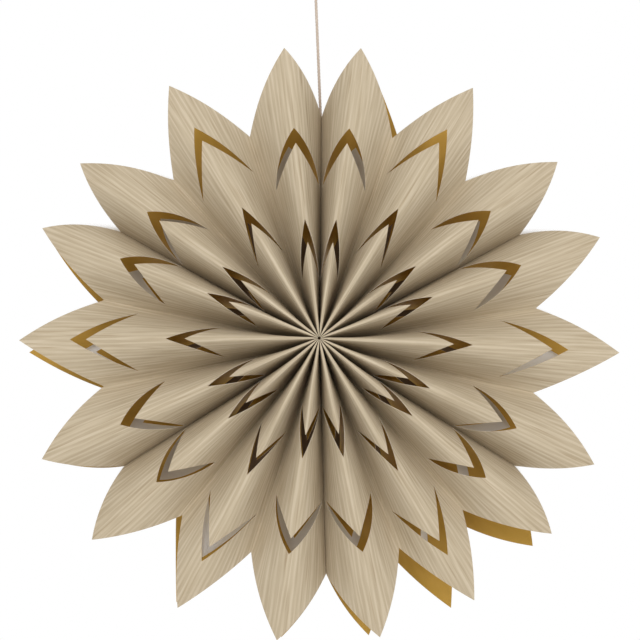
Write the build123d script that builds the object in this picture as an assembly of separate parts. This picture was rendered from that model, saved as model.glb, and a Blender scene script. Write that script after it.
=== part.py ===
"""Hanging folded paper star: six die-cut paper bags glued side to side around a hub, on a cord.

The star stands in the XZ plane with its front to -Y and its hub axis along Y. Each bag fills about
a sixth of the circle. It is closed at the hub and open at the rim, and its front and back sheet are
folded into three lobes each: a wide one between two narrow ones. Angles are in degrees, clockwise
from the top as seen from the front.
"""

import os
from math import cos, hypot, radians, sin, tan

from build123d import *

# The star, in millimetres
TIP_RADIUS = 200.0  # hub axis to the tip of a petal
FOLD_NOTCH_DEPTH = 52.5  # from the tips in to the notch at a soft fold
SEAM_NOTCH_DEPTH = 45.0  # and to the notch at a glued seam
HUB_RADIUS = 1.0  # clear hole that the bags leave around the hub axis
PRESSED_RADIUS = 12.0  # inside this radius the folds of a bag lie pressed together
PAPER = 0.3  # thickness of the paper
WIDE_PETAL_BULGE = 1.6  # how far the edge of a wide petal bows out of the straight line
NARROW_PETAL_BULGE = 2.6
CUT_MARGIN = 12.0  # how far the cutting shapes reach past the paper

# Distance of the folds from the middle plane
RIDGE_DEPTH_HUB = 40.0
RIDGE_DEPTH_RIM = 25.0
VALLEY_DEPTH_HUB = 1.2
VALLEY_DEPTH_RIM = 21.0
GLUE_STRIP = 6.0  # width of the flat strip on which two bags are glued together

# The pointed slots: the outer and the inner one of a lobe
WIDE_SLOT_SETBACKS = (34.5, 98.5)  # from the tips in to the point of the slot
WIDE_SLOT_GAPS = (10.8, 12.6)  # clear width of the slot at its point, along the lobe
WIDE_SLOT_REACHES = (43.5, 38.0)  # along the lobe, from the point to the ends of the arms
WIDE_SLOT_BULGES = (1.7, 1.2)  # how far the outer edge of the arms bows out
NARROW_SLOT_SETBACKS = (57.0, 120.0)
NARROW_SLOT_GAPS = (10.4, 15.5)
NARROW_SLOT_REACHES = (37.0, 38.0)
NARROW_SLOT_BULGES = (3.4, 1.8)
TONGUE_BULGE = 0.3  # how far the edge of the tongue inside the arms bows out

# The cord
CORD_DIAMETER = 2.0
CORD_SEAT = 12.0  # length of cord in the slit of the closing seam
CORD_CLEARANCE = 0.1  # around the cord in that slit
CORD_RISE = 97.0  # from the notch of the closing seam to the knot
KNOT_DIAMETER = 5.2
KNOT_HEIGHT = 6.4
KNOT_ROUNDING = 1.9
LOOP_WIDTH = 17.0
LOOP_HEIGHT = 30.0
LOOP_FOOT_GAP = 2.3  # between the middles of the two strands that leave the knot

# Shares that shape the folds: how far along a panel the sheet keeps the direction of its fold
RIDGE_PULL_SHARE = 0.46
VALLEY_PULL_SHARE = 0.3
SEAM_PULL_SHARE = 0.2
VALLEY_RISE_SHARE = 0.25
SEAM_RISE_SHARE = 0.42
PULL_TO_MIDDLE_SHARE = 4 / 3  # a panel's middle follows its two pulls by the inverse of this
WIDE_SPAN_SHARE = 0.82  # of a half lobe, that the arm of a slot spans
FOLD_SPAN_SHARE = 0.78  # in a narrow lobe, toward the soft fold
SEAM_SPAN_SHARE = 0.95  # and toward the seam
STATION_SHARES = (0.36, 0.7, 1.04)  # of the tip radius, where a bag's section is drawn
CREASE_SHARES = (0, 0.32, 0.66, 1)  # of a panel's curve, where its flat facets meet

# Where the folds stand, in degrees. The star has opened a little unevenly.
CORD_LEAN = -2.3
SEAMS = (0.6, 61.5, 122.2, 178.3, 237.7, 299.4, 360.6)
FRONT_RIDGES = (
    (8.1, 31.2, 53.1),
    (69.8, 92.4, 114.4),
    (129.9, 149.3, 168.5),
    (188.0, 207.8, 228.6),
    (246.7, 270.0, 292.1),
    (306.6, 329.6, 353.2),
)
# How far the ridges at the back stand clockwise of those at the front
BACK_LAGS = (
    (2.2, -0.8, -1.4),
    (-0.5, -0.6, -1.8),
    (3.2, 4.0, 1.8),
    (-0.6, 1.3, 1.7),
    (0.3, -1.1, -0.5),
    (2.6, 0.8, -1.8),
)

FOLD_NOTCH_RADIUS = TIP_RADIUS - FOLD_NOTCH_DEPTH
SEAM_NOTCH_RADIUS = TIP_RADIUS - SEAM_NOTCH_DEPTH


def ridge_depth(radius):
    """Distance of a ridge from the middle plane."""
    return RIDGE_DEPTH_HUB + (RIDGE_DEPTH_RIM - RIDGE_DEPTH_HUB) * (radius / TIP_RADIUS) ** 2


def valley_depth(radius):
    """Distance of a soft fold from the middle plane."""
    return VALLEY_DEPTH_HUB + (VALLEY_DEPTH_RIM - VALLEY_DEPTH_HUB) * (radius / TIP_RADIUS) ** 2


def fold_angles(bag, back):
    """The angles of one sheet's folds: seam, ridge, valley, ridge, valley, ridge, seam."""
    lags = BACK_LAGS[bag] if back else (0, 0, 0)
    first, middle, last = (ridge + lag for ridge, lag in zip(FRONT_RIDGES[bag], lags))
    return (
        SEAMS[bag],
        first,
        (first + middle) / 2,
        middle,
        (middle + last) / 2,
        last,
        SEAMS[bag + 1],
    )


def bag_middle(bag):
    return (SEAMS[bag] + SEAMS[bag + 1]) / 2


def fold_points(bag, back, station):
    """The folds of one sheet in the plane across the bag at a station: (across, depth) of each."""
    points = []
    for place, angle in enumerate(fold_angles(bag, back)):
        off_middle = radians(angle - bag_middle(bag))
        across = station * tan(off_middle)
        radius = station / cos(off_middle)
        if place in (0, 6):
            depth = GLUE_STRIP / 2
        elif place % 2:
            depth = ridge_depth(radius)
        else:
            depth = valley_depth(radius)
        points.append((across, depth))
    return points


def panel(ridge, other, at_seam, wall, ridge_wall):
    """One panel's curve from its ridge to its soft fold or seam, moved inwards by the wall."""
    across = other[0] - ridge[0]
    fall = ridge[1] - other[1]
    toward = 1 if across > 0 else -1
    shift = toward * PULL_TO_MIDDLE_SHARE * wall * fall / hypot(fall, across)
    start = (ridge[0], ridge[1] - ridge_wall)
    start_pull = (ridge[0] + RIDGE_PULL_SHARE * across - shift, ridge[1] - ridge_wall)
    if at_seam:
        end = (other[0] - toward * wall, other[1])
        rise = other[1] + SEAM_RISE_SHARE * fall
        end_pull = (other[0] - SEAM_PULL_SHARE * across - shift, rise)
    else:
        end = (other[0], other[1] - wall)
        rise = end[1] + VALLEY_RISE_SHARE * fall
        end_pull = (other[0] - VALLEY_PULL_SHARE * across - shift, rise)
    return [on_curve(share, start, start_pull, end_pull, end) for share in CREASE_SHARES]


def on_curve(share, start, start_pull, end_pull, end):
    """The point at a share of the smooth curve that leaves and meets its ends along the pulls."""
    rest = 1 - share
    weights = (rest**3, 3 * rest**2 * share, 3 * rest * share**2, share**3)
    points = (start, start_pull, end_pull, end)
    return tuple(sum(w * point[axis] for w, point in zip(weights, points)) for axis in (0, 1))


def sheet(bag, back, station, wall):
    """The points of one sheet across a bag, from its first seam to its last."""
    folds = fold_points(bag, back, station)
    side = 1 if back else -1
    points = []
    for ridge in (1, 3, 5):
        # Two layers fill the sharp end of a steep ridge, so the space inside ends lower there.
        pull = RIDGE_PULL_SHARE * min(
            folds[ridge][0] - folds[ridge - 1][0], folds[ridge + 1][0] - folds[ridge][0]
        )
        fall = folds[ridge][1] - min(folds[ridge - 1][1], folds[ridge + 1][1])
        ridge_wall = wall + fall * (wall / pull) ** 2 / 3
        left = panel(folds[ridge], folds[ridge - 1], ridge == 1, wall, ridge_wall)
        right = panel(folds[ridge], folds[ridge + 1], ridge == 5, wall, ridge_wall)
        # Neighbouring panels share the point at their fold.
        points += left[:0:-1] + right[:-1]
    points.append(right[-1])
    return [(across, side * depth) for across, depth in points]


def section(bag, station, wall):
    """The closed outline across a bag at a station, moved inwards by the wall."""
    outline = sheet(bag, False, station, wall) + sheet(bag, True, station, wall)[::-1]
    middle = radians(bag_middle(bag))
    along = Vector(sin(middle), 0, cos(middle))
    across = Vector(cos(middle), 0, -sin(middle))
    plane = Plane(origin=along * station, x_dir=across, z_dir=along)
    return plane * Wire(Polyline(*outline, close=True).edges())


def bag_body(bag, first_station, wall):
    """A bag's outer form, or with a wall the space inside it."""
    stations = [first_station] + [share * TIP_RADIUS for share in STATION_SHARES]
    return Solid.make_loft([section(bag, station, wall) for station in stations], ruled=True)


def spot(radius, angle):
    """A place on the star as seen from the front: across and up."""
    return Vector(radius * sin(radians(angle)), radius * cos(radians(angle)))


def bowed(start, end, bulge):
    """An edge from start to end that bows away from the hub."""
    middle = (start + end) / 2
    chord = end - start
    out = Vector(-chord.Y, chord.X).normalized()
    if out.dot(middle) < 0:
        out = out * -1
    return ThreePointArc(start, middle + out * bulge, end)


def outside_petals(angles):
    """The area around the petals of one sheet, which the die cuts away."""
    half_sector = radians(angles[6] - angles[0]) / 2
    far = STATION_SHARES[-1] * TIP_RADIUS / cos(half_sector) + CUT_MARGIN
    edges = []
    for place in range(6):
        ends = []
        for fold in (place, place + 1):
            if fold % 2:
                radius = TIP_RADIUS
            elif fold in (0, 6):
                radius = SEAM_NOTCH_RADIUS
            else:
                radius = FOLD_NOTCH_RADIUS
            ends.append(spot(radius, angles[fold]))
        edges.append(bowed(*ends, WIDE_PETAL_BULGE if place in (2, 3) else NARROW_PETAL_BULGE))
    # The die reaches past both seams, square to them.
    beyond = CUT_MARGIN / 2
    first = spot(SEAM_NOTCH_RADIUS, angles[0])
    last = spot(SEAM_NOTCH_RADIUS, angles[6])
    first_side = first - spot(beyond, angles[0] + 90)
    last_side = last + spot(beyond, angles[6] + 90)
    corners = [last, last_side, last_side + spot(far - SEAM_NOTCH_RADIUS, angles[6])]
    corners.append(spot(far / cos(half_sector), (angles[0] + angles[6]) / 2))
    corners += [first_side + spot(far - SEAM_NOTCH_RADIUS, angles[0]), first_side, first]
    edges += [Line(start, end) for start, end in zip(corners, corners[1:])]
    return Face(Wire(edges))


def arm_span(ridge, fold):
    """The share of a half lobe that a slot's arm spans from a ridge toward a fold."""
    if ridge == 3:
        return WIDE_SPAN_SHARE
    return SEAM_SPAN_SHARE if fold in (0, 6) else FOLD_SPAN_SHARE


def slot(angles, ridge, setback, gap, reach, bulge):
    """One pointed slot on a ridge, open between its outer edge and its tongue."""
    apex = TIP_RADIUS - setback
    arms = []
    for fold in (ridge - 1, ridge + 1):
        angle = angles[ridge] + arm_span(ridge, fold) * (angles[fold] - angles[ridge])
        arms.append(spot(apex - reach, angle))
    point = spot(apex, angles[ridge])
    tongue = spot(apex - gap, angles[ridge])
    edges = [bowed(arms[0], point, bulge), bowed(point, arms[1], bulge)]
    edges += [bowed(arms[1], tongue, TONGUE_BULGE), bowed(tongue, arms[0], TONGUE_BULGE)]
    return Face(Wire(edges))


def die_cuts(bag, back):
    """The solids that the die takes out of one sheet of a bag."""
    wide = zip(WIDE_SLOT_SETBACKS, WIDE_SLOT_GAPS, WIDE_SLOT_REACHES, WIDE_SLOT_BULGES)
    narrow = zip(NARROW_SLOT_SETBACKS, NARROW_SLOT_GAPS, NARROW_SLOT_REACHES, NARROW_SLOT_BULGES)
    wide, narrow = list(wide), list(narrow)
    angles = fold_angles(bag, back)
    areas = [outside_petals(angles)]
    for ridge, slots in ((1, narrow), (3, wide), (5, narrow)):
        areas += [slot(angles, ridge, *sizes) for sizes in slots]
    reach = RIDGE_DEPTH_HUB + CUT_MARGIN
    toward = Vector(0, reach if back else -reach, 0)
    return [Solid.extrude(Plane.XZ * area, toward) for area in areas]


def cord_line():
    """Seat and knot: where the cord starts in the closing seam, and where it meets its knot."""
    seat = Plane.XZ.from_local_coords(spot(SEAM_NOTCH_RADIUS - CORD_SEAT, SEAMS[0]))
    length = CORD_SEAT + CORD_RISE
    lean = radians(CORD_LEAN)
    return seat, seat + Vector(length * sin(lean), 0, length * cos(lean))


def rod(start, end, radius):
    """A round rod between two points."""
    plane = Plane(origin=start, z_dir=end - start)
    return Solid.make_cylinder(radius, (end - start).length, plane)


def paper_bag(bag):
    """One die-cut, folded bag."""
    body = bag_body(bag, HUB_RADIUS, 0) - bag_body(bag, PRESSED_RADIUS, PAPER)
    body = body - die_cuts(bag, False) - die_cuts(bag, True)
    if bag in (0, 5):
        seat, knot = cord_line()
        body = body - rod(seat, knot, CORD_DIAMETER / 2 + CORD_CLEARANCE)
    return body


def hanging_cord():
    """The cord from its seat in the closing seam to its knot, and the loop above the knot."""
    seat, foot = cord_line()
    stem = rod(seat, foot, CORD_DIAMETER / 2)
    along = (foot - seat).normalized()
    knot_plane = Plane(origin=foot, x_dir=(along.Z, 0, -along.X), z_dir=along)
    knot = knot_plane * Pos(0, 0, KNOT_HEIGHT / 2) * Cylinder(KNOT_DIAMETER / 2, KNOT_HEIGHT)
    knot = fillet(knot.edges(), KNOT_ROUNDING)
    # The loop: two strands that leave the knot, spread and close in a half circle.
    near = LOOP_FOOT_GAP / 2
    wide = LOOP_WIDTH / 2
    bottom = KNOT_HEIGHT / 2
    top = bottom + LOOP_HEIGHT
    right_foot, left_foot = (near, 0, bottom), (-near, 0, bottom)
    right_neck, left_neck = (near, 0, KNOT_HEIGHT), (-near, 0, KNOT_HEIGHT)
    right_side, left_side = (wide, 0, top - wide), (-wide, 0, top - wide)
    up, down = (0, 0, 1), (0, 0, -1)
    path = Wire(
        [
            Line(right_foot, right_neck),
            Spline(right_neck, right_side, tangents=[up, up]),
            ThreePointArc(right_side, (0, 0, top), left_side),
            Spline(left_side, left_neck, tangents=[down, down]),
            Line(left_neck, left_foot),
        ]
    )
    ring = sweep(Plane(origin=right_foot, z_dir=up) * Circle(CORD_DIAMETER / 2), path=path)
    return stem + knot + knot_plane * ring


os.makedirs("parts", exist_ok=True)
for number in range(6):
    export_step(paper_bag(number), f"parts/paper_bag_{number + 1}.step")
export_step(hanging_cord(), "parts/hanging_cord.step")
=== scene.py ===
"""Hanging folded paper star: six printed, die-cut paper bags around a hub, on a cord.

The bags are glued side to side. The star hangs in the XZ plane with its front to -Y. Angles are
in degrees, clockwise from the top as seen from the front. Lengths are in metres.
"""

import math

import bmesh
import bpy
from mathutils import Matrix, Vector, noise


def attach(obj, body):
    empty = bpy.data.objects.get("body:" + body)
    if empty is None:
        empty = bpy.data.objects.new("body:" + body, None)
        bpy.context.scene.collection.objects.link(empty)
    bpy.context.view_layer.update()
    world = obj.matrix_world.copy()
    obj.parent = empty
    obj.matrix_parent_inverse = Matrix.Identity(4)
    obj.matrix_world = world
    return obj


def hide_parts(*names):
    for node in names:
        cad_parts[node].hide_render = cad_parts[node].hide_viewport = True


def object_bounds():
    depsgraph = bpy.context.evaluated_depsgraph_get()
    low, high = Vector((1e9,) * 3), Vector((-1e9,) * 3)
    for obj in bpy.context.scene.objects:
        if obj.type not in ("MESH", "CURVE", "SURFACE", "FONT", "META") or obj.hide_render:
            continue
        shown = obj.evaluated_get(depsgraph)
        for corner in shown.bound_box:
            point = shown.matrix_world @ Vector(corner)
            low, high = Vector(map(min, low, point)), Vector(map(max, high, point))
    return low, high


MM = 0.001
MERGE = 0.001 * MM  # points closer than this become one
BISECTIONS = 40

# The star
BAGS = 6
PETALS = 3  # of one sheet of a bag
PANELS = 6  # of one sheet, from seam to seam
MIDDLE_RIDGE = 3  # number of the fold that carries the wide petal
TIP_RADIUS = 200 * MM
FOLD_NOTCH_RADIUS = 147.5 * MM
SEAM_NOTCH_RADIUS = 155 * MM
HUB_RADIUS = 1.0 * MM
PAPER = 0.3 * MM
PRESSED_RADIUS = 12 * MM  # inside this radius the layers of a bag lie pressed together
WIDE_PETAL_BULGE = 1.6 * MM
NARROW_PETAL_BULGE = 2.6 * MM
RIDGE_DEPTH_HUB = 40 * MM
RIDGE_DEPTH_RIM = 25 * MM
VALLEY_DEPTH_HUB = 1.2 * MM
VALLEY_DEPTH_RIM = 21 * MM
GLUE_STRIP = 6 * MM
CREST = 0.7 * MM  # from the middle of a ridge to where the paper turns down
CREST_LIMIT_SHARE = 0.6  # of a panel's width, near the hub
CREST_RADIUS = 70 * MM  # further out the crest is too narrow to matter
PANEL_WIDTH = 36 * MM  # of the flat paper, from a ridge to a valley
BLANK_PANELS = 14  # widths of a panel, from one bag's flat blank to the next
FOLD_SHARP = math.radians(50)

# The wall of a bag gets thinner towards the hub, where its layers lie pressed together
THINNEST_SHARE = 0.02  # of the paper's thickness
WALL_START_SHARE = 0.3  # of the pressed radius
WALL_GROWTH_SHARE = 2.5  # pressed radii from there to the full thickness

# Small waves of the paper, from noise in which every petal has a place of its own
WAVE_HEIGHT = 1.3 * MM
WAVE_START_SHARE = 0.2  # of the tip radius
WAVES_ALONG = 22  # for a metre
WAVES_ACROSS = 0.11  # for a degree
TILT_HEIGHT = 9 * MM
TILT_SPOT = 0.5
PETAL_SEED = 7.3
BACK_SEED = 3.1

# The pointed slots: the inner and the outer one of a lobe
WIDE_SLOT_APEXES = (101.5 * MM, 165.5 * MM)
WIDE_SLOT_GAPS = (12.6 * MM, 10.8 * MM)
WIDE_SLOT_REACHES = (38 * MM, 43.5 * MM)
WIDE_SLOT_BULGES = (1.2 * MM, 1.7 * MM)
NARROW_SLOT_APEXES = (80 * MM, 143 * MM)
NARROW_SLOT_GAPS = (15.5 * MM, 10.4 * MM)
NARROW_SLOT_REACHES = (38 * MM, 37 * MM)
NARROW_SLOT_BULGES = (1.8 * MM, 3.4 * MM)
TONGUE_BULGE = 0.3 * MM
VALLEY_ROW_RADII = (52 * MM, 114 * MM)  # where the rows of the slots cross the soft folds
SEAM_ROW_RADII = (43 * MM, 107 * MM)  # and the glued seams

# Shares that shape the folds
RIDGE_PULL_SHARE = 0.46
VALLEY_PULL_SHARE = 0.3
SEAM_PULL_SHARE = 0.2
VALLEY_RISE_SHARE = 0.25
SEAM_RISE_SHARE = 0.42
WIDE_SPAN_SHARE = 0.82  # of a half lobe, that the arm of a slot spans
FOLD_SPAN_SHARE = 0.78  # in a narrow lobe, toward the soft fold
SEAM_SPAN_SHARE = 0.95  # and toward the seam

# Where the folds stand, in degrees; the back's ridges lag behind the front's
SEAMS = (0.6, 61.5, 122.2, 178.3, 237.7, 299.4, 360.6)
FRONT_RIDGES = (
    (8.1, 31.2, 53.1),
    (69.8, 92.4, 114.4),
    (129.9, 149.3, 168.5),
    (188.0, 207.8, 228.6),
    (246.7, 270.0, 292.1),
    (306.6, 329.6, 353.2),
)
BACK_LAGS = (
    (2.2, -0.8, -1.4),
    (-0.5, -0.6, -1.8),
    (3.2, 4.0, 1.8),
    (-0.6, 1.3, 1.7),
    (0.3, -1.1, -0.5),
    (2.6, 0.8, -1.8),
)

# Soft folds of the back, by bag and fold, that run askew towards the rim: how far, in degrees
BACK_FOLD_LEANS = {(0, 2): 2.1, (3, 4): 1.4, (4, 4): -0.9}
LEAN_START = 80 * MM
LEAN_LENGTH = 65 * MM

# How finely a sheet is divided
ARM_COLUMNS = 12  # from a ridge to the end of a slot's arm
SIDE_COLUMNS = 5  # from there to the valley
STRIP_COLUMNS = 2
CURVE_STEPS = 16  # along a panel, where its length is measured
BAND_ROWS = (22, 16, 18)  # hub to inner slot, inner to outer slot, outer slot to rim

# The cord
CORD_DIAMETER = 2 * MM
CORD_SEAT = 12 * MM
CORD_RISE = 97 * MM
CORD_LEAN = -2.3  # in degrees
KNOT_DIAMETER = 5.2 * MM
KNOT_HEIGHT = 6.4 * MM
LOOP_WIDTH = 17 * MM
LOOP_HEIGHT = 30 * MM
LOOP_FOOT_GAP = 2.3 * MM
STRANDS = 3
STRAND_SIDES = 10
STRAND_RADIUS = 0.58 * MM
STRAND_OFFSET = CORD_DIAMETER / 2 - STRAND_RADIUS  # from the middle of the cord
TWIST_PITCH = 7 * MM
STEM_STEPS = 120
LOOP_STEPS = 16
KNOT_STEPS = 72
KNOT_TURNS = 2.5
KNOT_END_SHARE = 0.22  # of the knot's cord, where it runs in to the middle
LOOP_NECK_SHARE = 1.3  # of the knot's height
LOOP_SIDE_SHARE = 1.35  # of half the loop's width
YARN_SHARP = math.radians(60)

# The finishes: how fine each noise is, for a metre across and along
BOARD_SCALE = (55, 6, 1)
STREAK_SCALE = (420, 24, 1)
PORE_SCALE = (760, 24, 1)
FIBRE_SCALE = (1500, 40, 1)
CLOUD_SCALE = (60, 25, 1)
FLECK_SCALE = (2600, 2600, 1)
SPECK_SCALE = (900, 900, 900)
YARN_SCALE = (9, 420, 1)  # for a turn around a strand, and a metre along it
PORE_SHARE = 0.5
FIBRE_SHARE = 0.4

# The printed lines of the grain
GRAIN_PITCH = 3.1 * MM
GRAIN_WAVER = 7.0
GRAIN_STRETCH = 14.0
GRAIN_DETAIL = 2.0
GRAIN_DETAIL_SCALE = 1.6
WAVE_UNIT = math.pi / 10  # from line to line of the wave texture at scale 1

# The view: a long lens, lower than the star and turned up to it
SENSOR = 36.0
LENS = 115.5
CAMERA_DISTANCE = 1.346  # from the front of the hub
CAMERA_DROP = 0.1272  # below the hub
CAMERA_PITCH = 5.42  # in degrees
CAMERA_SHIFTS = (0.0012, 0.027)
CAMERA_REACH = 50

# The room
ROOM_LIGHT = 0.6
FLOOR_SIZE = 3.0
FLOOR_DROP = 0.4
FLOOR_GREY = 0.86  # as it lights the star
FLOOR_WHITE = 1.6  # as it looks
FLOOR_ROUGHNESS = 0.9
LAMPS = (  # name, place, diameter and power
    ("soft_front", (-0.4, -2.0, 0.7), 1.8, 24),
    ("soft_back", (0.5, 2.0, 0.8), 1.8, 19),
    ("soft_side", (1.2, -1.5, 0.2), 1.2, 7),
)
SHADE_GAP = 1.2 * MM  # from the back of the hub to the soft shade; twice that at the rim
SHADE_RINGS = 6
SHADE_RISE = 8 * MM  # middle of the shade, above the hub
SHADE_SPREAD = 1.04  # of the star's own outline
SHADE_FADE = (0.9, 0.98)  # of the shade's outline
SHADE_COLOURS = (  # at shares of the shade's outline
    (0.30, (0.11, 0.075, 0.05)),
    (0.52, (0.17, 0.125, 0.09)),
    (0.66, (0.48, 0.45, 0.41)),
    (0.75, (0.70, 0.68, 0.655)),
    (0.91, (0.87, 0.855, 0.836)),
)


# Folding


def ridge_depth(radius):
    """Distance of a ridge from the middle plane."""
    return RIDGE_DEPTH_HUB + (RIDGE_DEPTH_RIM - RIDGE_DEPTH_HUB) * (radius / TIP_RADIUS) ** 2


def valley_depth(radius):
    """Distance of a soft fold from the middle plane."""
    return VALLEY_DEPTH_HUB + (VALLEY_DEPTH_RIM - VALLEY_DEPTH_HUB) * (radius / TIP_RADIUS) ** 2


def fold_angles(bag, back):
    """The angles of one sheet's folds: seam, ridge, valley, ridge, valley, ridge, seam."""
    lags = BACK_LAGS[bag] if back else (0, 0, 0)
    first, middle, last = (ridge + lag for ridge, lag in zip(FRONT_RIDGES[bag], lags))
    valleys = (first + middle) / 2, (middle + last) / 2
    return SEAMS[bag], first, valleys[0], middle, valleys[1], last, SEAMS[bag + 1]


def across_share(share, end_pull):
    """How far across a panel its curve has come at a share of its length."""
    rest = 1 - share
    near = 3 * rest**2 * share * RIDGE_PULL_SHARE
    return near + 3 * rest * share**2 * (1 - end_pull) + share**3


def curve_share(across, end_pull):
    """The share of a panel's curve that has come so far across."""
    low, high = 0.0, 1.0
    for _ in range(BISECTIONS):
        middle = (low + high) / 2
        if across_share(middle, end_pull) < across:
            low = middle
        else:
            high = middle
    return (low + high) / 2


def fall_share(share, end_rise):
    """How far a panel has come down from its ridge at a share of its curve."""
    rest = 1 - share
    return 3 * rest * share**2 * (1 - end_rise) + share**3


class Column:
    """One line of the blank from hub to rim: its place between two folds, and its cuts."""

    def __init__(self, bag, back, panel, place):
        angles = fold_angles(bag, back)
        rising = panel % 2 == 0  # from a valley or seam up to a ridge
        ridge, other = (panel + 1, panel) if rising else (panel, panel + 1)
        self.back = back
        self.fold = bag, other
        self.at_seam = other in (0, PANELS)
        self.wide = ridge == MIDDLE_RIDGE
        if self.wide:
            self.span = WIDE_SPAN_SHARE
        else:
            self.span = SEAM_SPAN_SHARE if self.at_seam else FOLD_SPAN_SHARE
        across = self.across = share_across(place, self.span)
        self.angle = angles[ridge] + across * (angles[other] - angles[ridge])
        self.half_lobe = math.radians(abs(angles[other] - angles[ridge]))
        self.petal = bag * PETALS + ridge // 2
        self.end_pull = SEAM_PULL_SHARE if self.at_seam else VALLEY_PULL_SHARE
        self.end_rise = SEAM_RISE_SHARE if self.at_seam else VALLEY_RISE_SHARE
        self.share = curve_share(across, self.end_pull)
        self.fall = fall_share(self.share, self.end_rise)
        # On the flat blank the back sheet lies beside the front sheet.
        panels = 2 * PANELS - ridge if back else ridge
        self.ridge_line = (bag * BLANK_PANELS + panels) * PANEL_WIDTH
        self.side = -1 if rising != back else 1
        self.steps = self.curve_steps()

    def curve_steps(self):
        """Steps of the panel's curve from its ridge to this column: across and down."""
        shares = [self.share * step / CURVE_STEPS for step in range(CURVE_STEPS + 1)]
        across = [across_share(share, self.end_pull) for share in shares]
        down = [fall_share(share, self.end_rise) for share in shares]
        return [
            (across[step + 1] - across[step], down[step + 1] - down[step])
            for step in range(CURVE_STEPS)
        ]

    def low(self, radius):
        """Distance of the panel's other fold from the middle plane."""
        return GLUE_STRIP / 2 if self.at_seam else valley_depth(radius)

    def flat(self, radius):
        """Where the paper lies across the flat blank, by its length from the ridge."""
        width = self.half_lobe * radius
        fall = ridge_depth(radius) - self.low(radius)
        length = sum(math.hypot(width * across, fall * down) for across, down in self.steps)
        return self.ridge_line + self.side * length

    def edge_radius(self, start, end, bulge):
        """Where this column meets a bowed edge; its ends are a radius and a share across each."""
        ends = []
        for radius, share in (start, end):
            turn = share * self.half_lobe
            ends.append(Vector((radius * math.sin(turn), radius * math.cos(turn))))
        chord = ends[1] - ends[0]
        out = Vector((-chord.y, chord.x)).normalized()
        low, high = 0.0, 1.0
        for _ in range(BISECTIONS):
            middle = (low + high) / 2
            place = ends[0].lerp(ends[1], middle) + out * 4 * middle * (1 - middle) * bulge
            if math.atan2(place.x, place.y) < self.across * self.half_lobe:
                low = middle
            else:
                high = middle
        return place.length

    def cuts(self):
        """The radii of the cuts on this column, from the hub out: pairs of band ends."""
        if self.wide:
            apexes, gaps = WIDE_SLOT_APEXES, WIDE_SLOT_GAPS
            reaches, bulges = WIDE_SLOT_REACHES, WIDE_SLOT_BULGES
        else:
            apexes, gaps = NARROW_SLOT_APEXES, NARROW_SLOT_GAPS
            reaches, bulges = NARROW_SLOT_REACHES, NARROW_SLOT_BULGES
        rows = SEAM_ROW_RADII if self.at_seam else VALLEY_ROW_RADII
        ends = [HUB_RADIUS]
        for apex, gap, reach, bulge, row in zip(apexes, gaps, reaches, bulges, rows):
            arm_end = (apex - reach, self.span)
            if self.across < self.span:
                ends.append(self.edge_radius((apex - gap, 0), arm_end, TONGUE_BULGE))
                ends.append(self.edge_radius((apex, 0), arm_end, bulge))
            else:
                beyond = (self.across - self.span) / (1 - self.span)
                ends += [arm_end[0] + (row - arm_end[0]) * beyond] * 2
        notch = SEAM_NOTCH_RADIUS if self.at_seam else FOLD_NOTCH_RADIUS
        bulge = WIDE_PETAL_BULGE if self.wide else NARROW_PETAL_BULGE
        ends.append(self.edge_radius((TIP_RADIUS, 0), (notch, 1), bulge))
        return list(zip(ends[::2], ends[1::2]))

    def place(self, radius):
        """Where the folded paper is at this radius."""
        high = ridge_depth(radius)
        depth = high - (high - self.low(radius)) * self.fall_at(radius)
        depth += self.unevenness(radius)
        turn = math.radians(self.angle + self.lean(radius))
        side = 1 if self.back else -1
        return Vector((radius * math.sin(turn), side * depth, radius * math.cos(turn)))

    def fall_at(self, radius):
        """How far the panel has come down here; near the hub the ridge's crest takes its room."""
        if radius > CREST_RADIUS:
            return self.fall
        width = self.half_lobe * radius
        fade = min(1.0, 2 * (1 - radius / CREST_RADIUS))
        crest = min(CREST * fade / width, CREST_LIMIT_SHARE)
        beyond = max(0.0, (self.across - crest) / (1 - crest))
        return fall_share(curve_share(beyond, self.end_pull), self.end_rise)

    def lean(self, radius):
        """How far the paper beside a fold of the back leans to a side here, in degrees."""
        if not self.back or self.fold not in BACK_FOLD_LEANS:
            return 0.0
        out = min(1.0, max(0.0, (radius - LEAN_START) / LEAN_LENGTH))
        return BACK_FOLD_LEANS[self.fold] * out**2 * (3 - 2 * out) * self.across**2

    def unevenness(self, radius):
        """Small waves of the paper, none at the folds between petals or near the hub."""
        out = min(1.0, max(0.0, radius / TIP_RADIUS - WAVE_START_SHARE))
        free = out * (1 - self.across)
        seed = self.petal * PETAL_SEED + (BACK_SEED if self.back else 0)
        wave = noise.noise(Vector((radius * WAVES_ALONG, self.angle * WAVES_ACROSS, seed)))
        beyond = max(0.0, radius / FOLD_NOTCH_RADIUS - 1)
        tilt = noise.noise(Vector((seed, TILT_SPOT, TILT_SPOT))) * beyond
        return free * (WAVE_HEIGHT * wave + TILT_HEIGHT * tilt)


class StripColumn:
    """A line of the glued strip between the front and the back sheet."""

    def __init__(self, beside, across):
        self.beside = beside
        self.across = across

    def cuts(self):
        return self.beside.cuts()

    def flat(self, radius):
        return self.beside.flat(radius) + self.across * GLUE_STRIP

    def place(self, radius):
        spot = self.beside.place(radius)
        spot.y *= 1 - 2 * self.across
        return spot


def share_across(place, span):
    """How far across a panel one of its columns stands: some on a slot's arm, the others beyond."""
    if place <= ARM_COLUMNS:
        return span * place / ARM_COLUMNS
    return span + (1 - span) * (place - ARM_COLUMNS) / SIDE_COLUMNS


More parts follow.
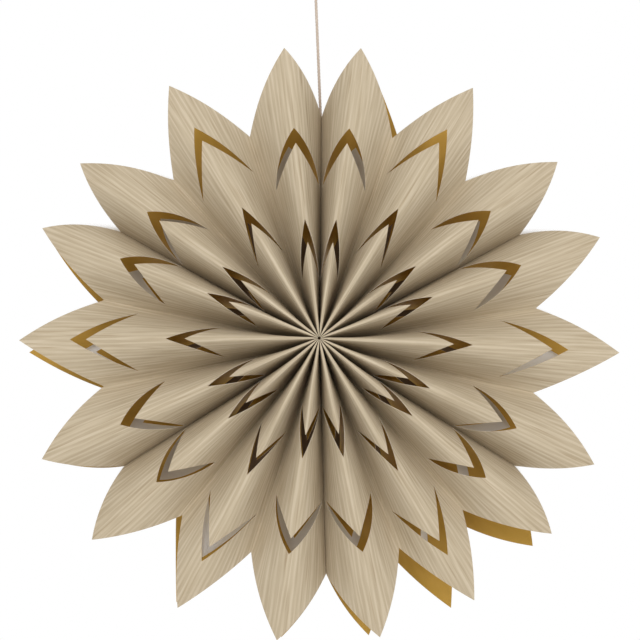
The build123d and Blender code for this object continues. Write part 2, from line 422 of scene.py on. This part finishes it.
def sheet_columns(bag, back):
    """The columns of one sheet from seam to seam, two at each valley, one for either panel."""
    places = list(range(ARM_COLUMNS + SIDE_COLUMNS + 1))
    columns = []
    for panel in range(PANELS):
        in_order = places[1:] if panel % 2 else places[::-1]
        columns += [Column(bag, back, panel, place) for place in in_order]
    return columns


def bag_columns(bag):
    """All columns around a bag: front sheet, glued strip, back sheet, glued strip."""
    front = sheet_columns(bag, False)
    back = sheet_columns(bag, True)[::-1]
    strip = [step / STRIP_COLUMNS for step in range(1, STRIP_COLUMNS + 1)]
    around = front + [StripColumn(front[-1], across) for across in strip[:-1]]
    return around + back + [StripColumn(back[-1], across) for across in strip]


def lay_out(layer, flat_spots):
    """Gives the corners of the faces at each point their place on the flat blank."""
    for vert, spot in flat_spots.items():
        for loop in vert.link_loops:
            loop[layer].uv = spot


def finished_mesh(name, bm):
    """A mesh with what was made in bm, which ends here."""
    mesh = bpy.data.meshes.new(name)
    bm.to_mesh(mesh)
    bm.free()
    return mesh


def placed(name, data):
    """A new object of this name, in the scene."""
    piece = bpy.data.objects.new(name, data)
    bpy.context.collection.objects.link(piece)
    return piece


def paper_bag(bag):
    """One bag as a folded sheet: a blank of three bands, cut at the slots, folded and closed."""
    columns = bag_columns(bag)
    cuts = [column.cuts() for column in columns]
    bm = bmesh.new()
    print_layer = bm.loops.layers.uv.new("print")
    for band, rows in enumerate(BAND_ROWS):
        blank = bmesh.ops.create_grid(bm, x_segments=len(columns) - 1, y_segments=rows, size=0.5)
        flat_spots = {}
        for vert in blank["verts"]:
            number = round((vert.co.x + 0.5) * (len(columns) - 1))
            along = vert.co.y + 0.5
            start, end = cuts[number][band]
            radius = start + (end - start) * along
            vert.co = columns[number].place(radius)
            flat_spots[vert] = (columns[number].flat(radius), radius)
        lay_out(print_layer, flat_spots)
    bmesh.ops.remove_doubles(bm, verts=bm.verts, dist=MERGE)
    bmesh.ops.recalc_face_normals(bm, faces=bm.faces)
    front = max(bm.faces, key=lambda face: -face.calc_center_median().y)
    if front.normal.y > 0:
        bmesh.ops.reverse_faces(bm, faces=bm.faces)
    mesh = finished_mesh(f"bag_{bag + 1}", bm)
    piece = placed(f"bag_{bag + 1}_paper", mesh)
    for material in (PRINT, GOLD, EDGE):
        mesh.materials.append(material)
    wall = piece.vertex_groups.new(name="wall")
    for vert in mesh.vertices:
        out = math.hypot(vert.co.x, vert.co.z) / PRESSED_RADIUS
        share = max(THINNEST_SHARE, (out - WALL_START_SHARE) / WALL_GROWTH_SHARE)
        wall.add([vert.index], min(1.0, share), "REPLACE")
    solid = piece.modifiers.new("paper", "SOLIDIFY")
    solid.thickness = PAPER
    solid.offset = -1
    solid.vertex_group = wall.name
    solid.material_offset = 1
    solid.material_offset_rim = 2
    keep_shape(piece)
    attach(piece, "root")
    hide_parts(f"paper_bag_{bag + 1}")


def keep_shape(piece):
    """Applies a piece's modifiers, and shades it smooth with crisp edges."""
    shaped = piece.evaluated_get(bpy.context.evaluated_depsgraph_get())
    mesh = bpy.data.meshes.new_from_object(shaped)
    piece.modifiers.clear()
    piece.vertex_groups.clear()
    piece.data = mesh
    mesh.shade_smooth()
    mesh.set_sharp_from_angle(angle=FOLD_SHARP)


# Materials


class Finish:
    """A material with short calls for its nodes."""

    def __init__(self, name):
        self.material = bpy.data.materials.new(name)
        self.material.use_nodes = True
        self.tree = self.material.node_tree
        self.shader = self.tree.nodes["Principled BSDF"]

    def node(self, kind, **values):
        made = self.tree.nodes.new(kind)
        for name, value in values.items():
            setattr(made, name, value)
        return made

    def link(self, output, target):
        self.tree.links.new(output, target)

    def stretched_noise(self, source, scale, detail=3.0, roughness=0.55):
        """Noise on source coordinates that are scaled by (across, along, depth)."""
        mapping = self.node("ShaderNodeMapping")
        mapping.inputs["Scale"].default_value = scale
        self.link(source, mapping.inputs["Vector"])
        grain = self.node("ShaderNodeTexNoise")
        grain.inputs["Scale"].default_value = 1.0
        grain.inputs["Detail"].default_value = detail
        grain.inputs["Roughness"].default_value = roughness
        self.link(mapping.outputs["Vector"], grain.inputs["Vector"])
        return grain.outputs["Fac"]

    def wavering_lines(self, source):
        """The printed lines across the source, that waver and end along it."""
        mapping = self.node("ShaderNodeMapping")
        mapping.inputs["Scale"].default_value = (1, 1 / GRAIN_STRETCH, 1)
        self.link(source, mapping.inputs["Vector"])
        lines = self.node("ShaderNodeTexWave", bands_direction="X")
        lines.inputs["Scale"].default_value = WAVE_UNIT / GRAIN_PITCH
        lines.inputs["Distortion"].default_value = GRAIN_WAVER
        lines.inputs["Detail"].default_value = GRAIN_DETAIL
        lines.inputs["Detail Scale"].default_value = GRAIN_DETAIL_SCALE
        self.link(mapping.outputs["Vector"], lines.inputs["Vector"])
        return lines.outputs["Fac"]

    def ramp(self, source, stops):
        """Colours at places from 0 to 1 of a source."""
        ramp = self.node("ShaderNodeValToRGB")
        elements = ramp.color_ramp.elements
        while len(elements) < len(stops):
            elements.new(0.5)
        for element, (place, colour) in zip(elements, stops):
            element.position = place
            element.color = (*colour, 1)
        self.link(source, ramp.inputs["Fac"])
        return ramp.outputs["Color"]

    def darkened(self, colour, print_tone, share=1.0):
        """A colour with a print on it, that darkens it by a share."""
        mix = self.node("ShaderNodeMix", data_type="RGBA", blend_type="MULTIPLY")
        # The node's sockets for colours have the same names as those for numbers.
        mix.inputs[0].default_value = share
        self.link(colour, mix.inputs[6])
        self.link(print_tone, mix.inputs[7])
        return mix.outputs[2]

    def bump(self, source, strength, distance):
        bump = self.node("ShaderNodeBump")
        bump.inputs["Strength"].default_value = strength
        bump.inputs["Distance"].default_value = distance
        self.link(source, bump.inputs["Height"])
        self.link(bump.outputs["Normal"], self.shader.inputs["Normal"])

    def set(self, **values):
        for name, value in values.items():
            self.shader.inputs[name.replace("_", " ")].default_value = value


def tone(red, green, blue):
    """A colour given as it looks on a screen, from 0 to 255."""
    shares = [value / 255 for value in (red, green, blue)]
    return tuple(
        share / 12.92 if share < 0.04045 else ((share + 0.055) / 1.055) ** 2.4 for share in shares
    )


def wood_print():
    """Matt beige paper printed with a fine wood grain: pale lines and a few dark pores."""
    finish = Finish("wood_grain_print")
    flat = finish.node("ShaderNodeUVMap", uv_map="print").outputs["UV"]
    white = tone(255, 255, 255)
    broad = finish.stretched_noise(flat, BOARD_SCALE, detail=2.0)
    board = finish.ramp(broad, [(0.3, tone(188, 174, 150)), (0.7, tone(195, 181, 157))])
    lines = finish.wavering_lines(flat)
    pale = finish.ramp(lines, [(0.35, tone(241, 239, 236)), (0.85, white)])
    lined = finish.darkened(board, pale)
    streaks = finish.stretched_noise(flat, STREAK_SCALE, detail=2.5, roughness=0.5)
    faint = finish.ramp(streaks, [(0.36, tone(241, 239, 235)), (0.62, white)])
    streaked = finish.darkened(lined, faint)
    pores = finish.stretched_noise(flat, PORE_SCALE, detail=1.0)
    dark = finish.ramp(pores, [(0.27, tone(212, 202, 186)), (0.4, white)])
    grained = finish.darkened(streaked, dark, PORE_SHARE)
    fibres = finish.stretched_noise(flat, FIBRE_SCALE, detail=2.0)
    fine = finish.ramp(fibres, [(0.35, tone(238, 234, 226)), (0.6, white)])
    colour = finish.darkened(grained, fine, FIBRE_SHARE)
    finish.link(colour, finish.shader.inputs["Base Color"])
    finish.set(Roughness=0.72, Specular_IOR_Level=0.3)
    finish.bump(streaks, strength=0.08, distance=0.1 * MM)
    return finish.material


def gold_lining():
    """The gold-brown inner face of the paper, with a soft sheen."""
    finish = Finish("gold_lining")
    flat = finish.node("ShaderNodeUVMap", uv_map="print").outputs["UV"]
    cloud = finish.stretched_noise(flat, CLOUD_SCALE)
    colour = finish.ramp(cloud, [(0.3, tone(173, 137, 61)), (0.7, tone(188, 150, 74))])
    finish.link(colour, finish.shader.inputs["Base Color"])
    finish.set(Roughness=0.6, Metallic=0.1, Specular_IOR_Level=0.05)
    fleck = finish.stretched_noise(flat, FLECK_SCALE, detail=1.0)
    finish.bump(fleck, strength=0.08, distance=0.05 * MM)
    return finish.material


def cut_edge():
    """The cut edge of the paper: its pale core."""
    finish = Finish("cut_paper_edge")
    place = finish.node("ShaderNodeTexCoord").outputs["Object"]
    speck = finish.stretched_noise(place, SPECK_SCALE, detail=2.0)
    colour = finish.ramp(speck, [(0.3, tone(186, 172, 148)), (0.7, tone(212, 200, 178))])
    finish.link(colour, finish.shader.inputs["Base Color"])
    finish.set(Roughness=0.9)
    return finish.material


def cord_yarn():
    """Pale natural yarn with fine fibres along its strands."""
    finish = Finish("cord_yarn")
    lay = finish.node("ShaderNodeUVMap", uv_map="strand").outputs["UV"]
    fibres = finish.stretched_noise(lay, YARN_SCALE)
    colour = finish.ramp(
        fibres,
        [(0.3, tone(172, 155, 138)), (0.5, tone(194, 178, 163)), (0.7, tone(210, 196, 182))],
    )
    finish.link(colour, finish.shader.inputs["Base Color"])
    finish.set(Roughness=0.88)
    finish.bump(fibres, strength=0.35, distance=0.1 * MM)
    return finish.material


# Cord


def cord_line():
    """Seat in the closing seam, and foot of the knot."""
    turn = math.radians(SEAMS[0])
    out = SEAM_NOTCH_RADIUS - CORD_SEAT
    seat = Vector((out * math.sin(turn), 0, out * math.cos(turn)))
    lean = math.radians(CORD_LEAN)
    along = Vector((math.sin(lean), 0, math.cos(lean)))
    return seat, seat + along * (CORD_SEAT + CORD_RISE), along


def route_points(name, points, steps):
    """Points along the smooth line of a route, as its NURBS spline gives them."""
    curve = bpy.data.curves.new(name, "CURVE")
    curve.dimensions = "3D"
    spline = curve.splines.new("NURBS")
    spline.points.add(len(points) - 1)
    for control, point in zip(spline.points, points):
        control.co = (*point, 1)
    spline.order_u = 3
    spline.use_endpoint_u = True
    spline.resolution_u = steps
    line = bpy.data.objects.new(name, curve)
    mesh = bpy.data.meshes.new_from_object(line)
    places = [vert.co.copy() for vert in mesh.vertices]
    bpy.data.objects.remove(line)
    bpy.data.curves.remove(curve)
    bpy.data.meshes.remove(mesh)
    return places


def strand_frames(places):
    """The two directions square to the line at each of its points, carried along without twist."""
    ahead = [
        (places[min(at + 1, len(places) - 1)] - places[max(at - 1, 0)]).normalized()
        for at in range(len(places))
    ]
    side = ahead[0].cross(Vector((0, 1, 0))).normalized()
    frames = []
    for direction in ahead:
        side = (side - direction * side.dot(direction)).normalized()
        frames.append((side, direction.cross(side)))
    return frames


def twisted_strands(name, places):
    """Three strands laid around each other along a line, each a blank, rolled up and twisted."""
    frames = strand_frames(places)
    gone = [0.0]
    for before, after in zip(places, places[1:]):
        gone.append(gone[-1] + (after - before).length)
    bm = bmesh.new()
    lay = bm.loops.layers.uv.new("strand")
    for strand in range(STRANDS):
        blank = bmesh.ops.create_grid(
            bm, x_segments=STRAND_SIDES, y_segments=len(places) - 1, size=0.5
        )
        flat_spots = {}
        for vert in blank["verts"]:
            around = (vert.co.x + 0.5) * 2 * math.pi
            at = round((vert.co.y + 0.5) * (len(places) - 1))
            side, up = frames[at]
            turn = 2 * math.pi * (gone[at] / TWIST_PITCH + strand / STRANDS)
            centre = places[at] + (side * math.cos(turn) + up * math.sin(turn)) * STRAND_OFFSET
            vert.co = centre + (side * math.cos(around) + up * math.sin(around)) * STRAND_RADIUS
            flat_spots[vert] = (around / (2 * math.pi) + strand, gone[at])
        lay_out(lay, flat_spots)
    bmesh.ops.remove_doubles(bm, verts=bm.verts, dist=MERGE)
    bmesh.ops.holes_fill(bm, edges=[edge for edge in bm.edges if edge.is_boundary], sides=0)
    bmesh.ops.recalc_face_normals(bm, faces=bm.faces)
    return cord_piece(name, bm)


def cord_piece(name, bm):
    """A piece of the cord from its finished mesh."""
    mesh = finished_mesh(name, bm)
    mesh.shade_smooth()
    mesh.set_sharp_from_angle(angle=YARN_SHARP)
    mesh.materials.append(YARN)
    piece = placed(name, mesh)
    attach(piece, "root")
    return piece


def hanging_cord():
    """The taut cord, the knot at its top and the loop that it hangs by."""
    seat, foot, along = cord_line()
    stem_route = [seat, (seat + foot) / 2, foot + along * KNOT_HEIGHT / 2]
    stem_places = route_points("cord_stem", stem_route, STEM_STEPS)
    stem = twisted_strands("cord_stem", stem_places)
    across = Vector((along.z, 0, -along.x))

    def spot(right, up):
        return foot + across * right + along * up

    near, wide = LOOP_FOOT_GAP / 2, LOOP_WIDTH / 2
    bottom, top = KNOT_HEIGHT / 2, KNOT_HEIGHT / 2 + LOOP_HEIGHT
    neck, side = KNOT_HEIGHT * LOOP_NECK_SHARE, top - wide * LOOP_SIDE_SHARE
    right_half = [(near, bottom), (near, neck), (wide, side)]
    left_half = [(-right, up) for right, up in right_half[::-1]]
    crown = [(wide, top), (-wide, top)]
    loop_route = [spot(*pair) for pair in right_half + crown + left_half]
    loop = twisted_strands("cord_loop", route_points("cord_loop", loop_route, LOOP_STEPS))
    knot = cord_knot(foot, across, along)
    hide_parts("hanging_cord")
    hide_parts("hanging_cord")
    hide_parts("hanging_cord")
    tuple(seat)


def cord_knot(foot, across, along):
    """The knot: the cord wound tight around itself, its ends drawn in to the middle."""
    toward = along.cross(across)
    places = []
    for step in range(KNOT_STEPS + 1):
        share = step / KNOT_STEPS
        turn = 2 * math.pi * KNOT_TURNS * share
        out = min(1.0, share / KNOT_END_SHARE, (1 - share) / KNOT_END_SHARE)
        out *= (KNOT_DIAMETER - CORD_DIAMETER) / 2
        up = CORD_DIAMETER / 2 + (KNOT_HEIGHT - CORD_DIAMETER) * share
        aside = across * math.cos(turn) + toward * math.sin(turn)
        places.append(foot + aside * out + along * up)
    return twisted_strands("cord_knot", places)


# Stage


def camera():
    """A long lens, lower than the star and turned up to it."""
    data = bpy.data.cameras.new("view")
    data.sensor_width = SENSOR
    data.lens = LENS
    data.shift_x, data.shift_y = CAMERA_SHIFTS
    data.clip_end = CAMERA_REACH
    viewer = placed("view", data)
    viewer.location = (0, -RIDGE_DEPTH_HUB - CAMERA_DISTANCE, -CAMERA_DROP)
    viewer.rotation_euler = (math.pi / 2 + math.radians(CAMERA_PITCH), 0, 0)
    bpy.context.scene.camera = viewer


def area_light(name, place, size, power):
    """A round soft lamp, turned to the hub."""
    data = bpy.data.lights.new(name, "AREA")
    data.shape = "DISK"
    data.size = size
    data.energy = power
    lamp = placed(name, data)
    lamp.location = place
    lamp.rotation_euler = (-Vector(place)).to_track_quat("-Z", "Y").to_euler()


def looked_at(tree):
    """An output that is 1 where a surface is seen, also in a mirror or through glass."""
    path = tree.nodes.new("ShaderNodeLightPath")
    seen = path.outputs["Is Camera Ray"]
    for ray in ("Is Glossy Ray", "Is Transmission Ray"):
        either = tree.nodes.new("ShaderNodeMath")
        either.operation = "MAXIMUM"
        tree.links.new(seen, either.inputs[0])
        tree.links.new(path.outputs[ray], either.inputs[1])
        seen = either.outputs["Value"]
    return seen


def mix_into(tree, target, share, first, second):
    """Feeds a target with two shaders, mixed by a share."""
    mix = tree.nodes.new("ShaderNodeMixShader")
    tree.links.new(share, mix.inputs["Fac"])
    tree.links.new(first, mix.inputs[1])
    tree.links.new(second, mix.inputs[2])
    tree.links.new(mix.outputs["Shader"], target)


def white_room():
    """A plain world that lights softly, and that looks white itself."""
    world = bpy.data.worlds.new("white_room")
    bpy.context.scene.world = world
    world.use_nodes = True
    tree = world.node_tree
    ground = tree.nodes["Background"]
    ground.inputs["Color"].default_value = (1, 1, 1, 1)
    ground.inputs["Strength"].default_value = ROOM_LIGHT
    seen = tree.nodes.new("ShaderNodeBackground")
    seen.inputs["Color"].default_value = (1, 1, 1, 1)
    seen.inputs["Strength"].default_value = 1.0
    target = tree.nodes["World Output"].inputs["Surface"]
    backgrounds = ground.outputs["Background"], seen.outputs["Background"]
    mix_into(tree, target, looked_at(tree), *backgrounds)


def shade_paint():
    """Paint for the soft shade; it is clear at the star's outline and from behind."""
    finish = Finish("soft_shade")
    split = finish.node("ShaderNodeSeparateXYZ")
    flat = finish.node("ShaderNodeUVMap", uv_map="shade").outputs["UV"]
    finish.link(flat, split.inputs["Vector"])
    paint = finish.node("ShaderNodeBsdfDiffuse")
    finish.link(finish.ramp(split.outputs["X"], SHADE_COLOURS), paint.inputs["Color"])
    fade = finish.node("ShaderNodeMapRange", interpolation_type="SMOOTHSTEP")
    fade.inputs["From Min"].default_value, fade.inputs["From Max"].default_value = SHADE_FADE
    finish.link(split.outputs["X"], fade.inputs["Value"])
    away = finish.node("ShaderNodeMath", operation="MAXIMUM")
    finish.link(fade.outputs["Result"], away.inputs[0])
    finish.link(finish.node("ShaderNodeNewGeometry").outputs["Backfacing"], away.inputs[1])
    clear = finish.node("ShaderNodeBsdfTransparent")
    target = finish.tree.nodes["Material Output"].inputs["Surface"]
    coats = paint.outputs["BSDF"], clear.outputs["BSDF"]
    mix_into(finish.tree, target, away.outputs["Value"], *coats)
    return finish.material


def soft_shade():
    """The soft shade close behind the star, shaped like its outline."""
    columns = [column for bag in range(BAGS) for column in sheet_columns(bag, False)]
    rims = [(math.radians(column.angle), column.cuts()[-1][1]) for column in columns]
    bm = bmesh.new()
    layer = bm.loops.layers.uv.new("shade")
    sides = len(rims) - 1
    bmesh.ops.create_grid(bm, x_segments=sides, y_segments=SHADE_RINGS, size=0.5)
    for vert in bm.verts:
        turn, rim = rims[round((vert.co.x + 0.5) * sides)]
        share = vert.co.y + 0.5
        for loop in vert.link_loops:
            loop[layer].uv = (share, 0)
        out = share * rim * SHADE_SPREAD
        spot = Vector((out * math.sin(turn), 0, SHADE_RISE + out * math.cos(turn)))
        spot.y = ridge_depth(min(spot.length, TIP_RADIUS)) + SHADE_GAP * (1 + share)
        vert.co = spot
    bmesh.ops.remove_doubles(bm, verts=bm.verts, dist=MERGE)
    for face in bm.faces:
        face.normal_update()
        if face.normal.y > 0:
            face.normal_flip()
    mesh = finished_mesh("soft_shade", bm)
    mesh.materials.append(shade_paint())
    piece = placed("soft_shade", mesh)
    # It neither lights nor darkens the star.
    piece.visible_diffuse = False
    piece.visible_glossy = False
    piece.visible_transmission = False
    piece.visible_shadow = False


def floor():
    """A plain pale floor, below the hanging star."""
    bm = bmesh.new()
    bmesh.ops.create_grid(bm, x_segments=1, y_segments=1, size=FLOOR_SIZE / 2)
    bmesh.ops.translate(bm, verts=bm.verts, vec=(0, 0, cad_box[0][2] - FLOOR_DROP))
    mesh = finished_mesh("floor", bm)
    material = bpy.data.materials.new("pale_floor")
    material.use_nodes = True
    tree = material.node_tree
    shader = tree.nodes["Principled BSDF"]
    shader.inputs["Base Color"].default_value = (FLOOR_GREY, FLOOR_GREY, FLOOR_GREY, 1)
    shader.inputs["Roughness"].default_value = FLOOR_ROUGHNESS
    seen = tree.nodes.new("ShaderNodeBsdfDiffuse")
    seen.inputs["Color"].default_value = (FLOOR_WHITE, FLOOR_WHITE, FLOOR_WHITE, 1)
    target = tree.nodes["Material Output"].inputs["Surface"]
    mix_into(tree, target, looked_at(tree), shader.outputs["BSDF"], seen.outputs["BSDF"])
    mesh.materials.append(material)
    piece = placed("floor", mesh)


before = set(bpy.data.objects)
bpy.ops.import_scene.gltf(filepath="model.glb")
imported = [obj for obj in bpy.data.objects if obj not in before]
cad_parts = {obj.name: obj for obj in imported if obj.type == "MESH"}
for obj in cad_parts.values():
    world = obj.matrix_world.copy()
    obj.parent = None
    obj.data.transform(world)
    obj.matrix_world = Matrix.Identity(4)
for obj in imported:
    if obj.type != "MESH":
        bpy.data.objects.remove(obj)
cad_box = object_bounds()
bpy.context.scene.view_settings.view_transform = "Standard"

PRINT, GOLD, EDGE, YARN = wood_print(), gold_lining(), cut_edge(), cord_yarn()
camera()
hanging_cord()
for number in range(BAGS):
    paper_bag(number)
white_room()
floor()
soft_shade()
for lamp_values in LAMPS:
    area_light(*lamp_values)
